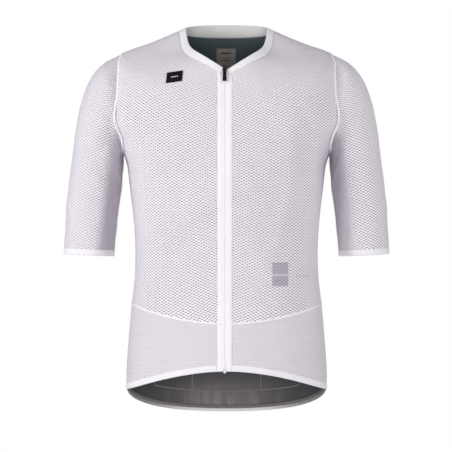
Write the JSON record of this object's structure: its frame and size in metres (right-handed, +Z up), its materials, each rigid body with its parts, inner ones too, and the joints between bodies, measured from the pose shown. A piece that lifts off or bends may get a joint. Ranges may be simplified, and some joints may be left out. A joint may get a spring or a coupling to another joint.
{
  "type": "cycling jersey",
  "caption": "Men's short-sleeved cycling jersey with a full front zip, V neck, set-in sleeves and dropped tail with back pockets, filled out in its worn form.",
  "frame": {"origin": "middle of the neck opening, level with the points where the shoulder seams meet the collar, which is where the wearer's shoulders and neck hold the jersey up", "axes": "+Z up, -Y out of the jersey's front, +X to the wearer's left"},
  "size_m": [0.569, 0.2478, 0.6952],
  "materials": {
    "mesh_knit": "open mesh knit, white with a lilac tinge, matt",
    "rib_knit": "fine ribbed knit, matt",
    "back_knit": "smooth knit, matt outside, dark slate inside",
    "band": "folded elastic band, matt",
    "facing": "grey knitted facing",
    "label": "woven label, grey-brown",
    "tape": "woven zip tape, smooth",
    "coil": "white nylon coil",
    "black_metal": "satin black",
    "patch": "matt black film"
  },
  "bodies": {
    "garment": {"front_left": "mesh_knit", "front_right": "mesh_knit", "waist_left": "rib_knit", "waist_right": "rib_knit", "back": "back_knit", "sleeve_left": "mesh_knit", "sleeve_right": "mesh_knit", "cuff_left": "band", "cuff_right": "band", "hem_left": "band", "hem_right": "band", "hem_back": "band", "collar": "band", "neck_facing": "facing", "neck_label": "label", "pocket_left": "back_knit", "pocket_centre": "back_knit", "pocket_right": "back_knit", "zip_tape_left": "tape", "zip_tape_right": "tape", "zip_chain": "coil", "zip_stop": "coil", "zip_slider": "black_metal", "chest_patch": "patch"},
    "pull": {"zip_pull": "black_metal"}
  },
  "joints": [
    {"name": "pull_swing", "type": "hinge", "parent": "garment", "child": "pull", "pos_m": [-0.00334, -0.09689, -0.07831], "axis": [-1, 0, 0], "range_deg": [0, 150]}
  ]
}
